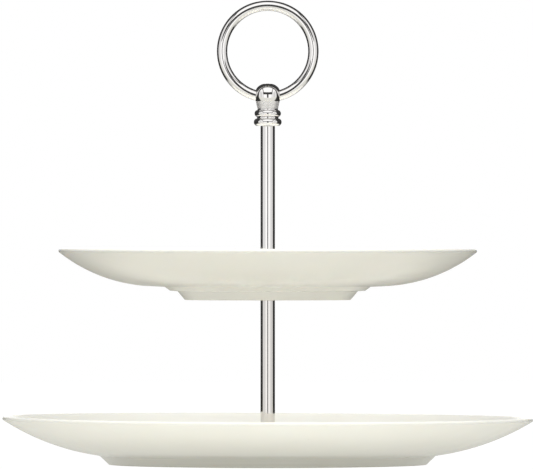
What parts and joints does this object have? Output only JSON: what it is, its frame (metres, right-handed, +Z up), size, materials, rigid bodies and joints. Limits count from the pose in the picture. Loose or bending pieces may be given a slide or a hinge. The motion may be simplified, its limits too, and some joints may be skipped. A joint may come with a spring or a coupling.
{
  "type": "tiered cake stand",
  "caption": "Cake stand with a small plate above a large one on a chromed rod that unscrews, with a ring handle on top.",
  "frame": {"origin": "on the rod's axis, on the surface that the lower plate's foot ring stands on", "axes": "+Z up along the rods; the ring handle lies in the XZ plane, and its hole faces along Y"},
  "size_m": [0.279, 0.279, 0.244],
  "materials": {
    "porcelain": "clear gloss glaze on warm white porcelain",
    "chrome": "polished chrome plate",
    "bright_steel": "zinc plated, fine turned",
    "gasket": "matt off-white"
  },
  "bodies": {
    "base": {"lower_plate": "porcelain", "base_gasket": "gasket", "lower_seat_gasket": "gasket"},
    "stem": {"lower_rod": "chrome", "base_screw": "bright_steel", "base_washer": "bright_steel", "lower_seat_washer": "chrome", "lower_rod_insert": "bright_steel", "lower_rod_stud": "bright_steel", "upper_under_washer": "bright_steel"},
    "upper_tier": {"upper_plate": "porcelain", "upper_under_gasket": "gasket", "upper_seat_gasket": "gasket", "upper_seat_washer": "chrome"},
    "upper_rod_thread": {"upper_rod_insert": "bright_steel"},
    "upper_rod": {"upper_rod": "chrome", "upper_rod_stud": "bright_steel"},
    "handle_ferrule": {"handle_collar": "chrome"},
    "handle": {"handle_head": "chrome", "handle_ring": "chrome"}
  },
  "joints": [
    {"name": "stem_turn", "type": "hinge", "parent": "base", "child": "stem", "pos_m": [0, 0, 0.0117], "axis": [0, 0, 1], "continuous": true},
    {"name": "upper_tier_turn", "type": "hinge", "parent": "stem", "child": "upper_tier", "pos_m": [0, 0, 0.0926], "axis": [0, 0, 1], "continuous": true},
    {"name": "upper_rod_lift", "type": "slide", "parent": "stem", "child": "upper_rod_thread", "axis": [0, 0, 1], "range_m": [0, 0.0084]},
    {"name": "upper_rod_turn", "type": "hinge", "parent": "upper_rod_thread", "child": "upper_rod", "pos_m": [0, 0, 0.0993], "axis": [0, 0, 1], "range_deg": [0, 4320]},
    {"name": "handle_lift", "type": "slide", "parent": "upper_rod", "child": "handle_ferrule", "axis": [0, 0, 1], "range_m": [0, 0.0084]},
    {"name": "handle_turn", "type": "hinge", "parent": "handle_ferrule", "child": "handle", "pos_m": [0, 0, 0.1794], "axis": [0, 0, 1], "range_deg": [0, 4320]}
  ],
  "couplings": [
    {"joint": "upper_rod_turn", "follows": "upper_rod_lift", "rad_per_m": 8976},
    {"joint": "handle_turn", "follows": "handle_lift", "rad_per_m": 8976}
  ]
}
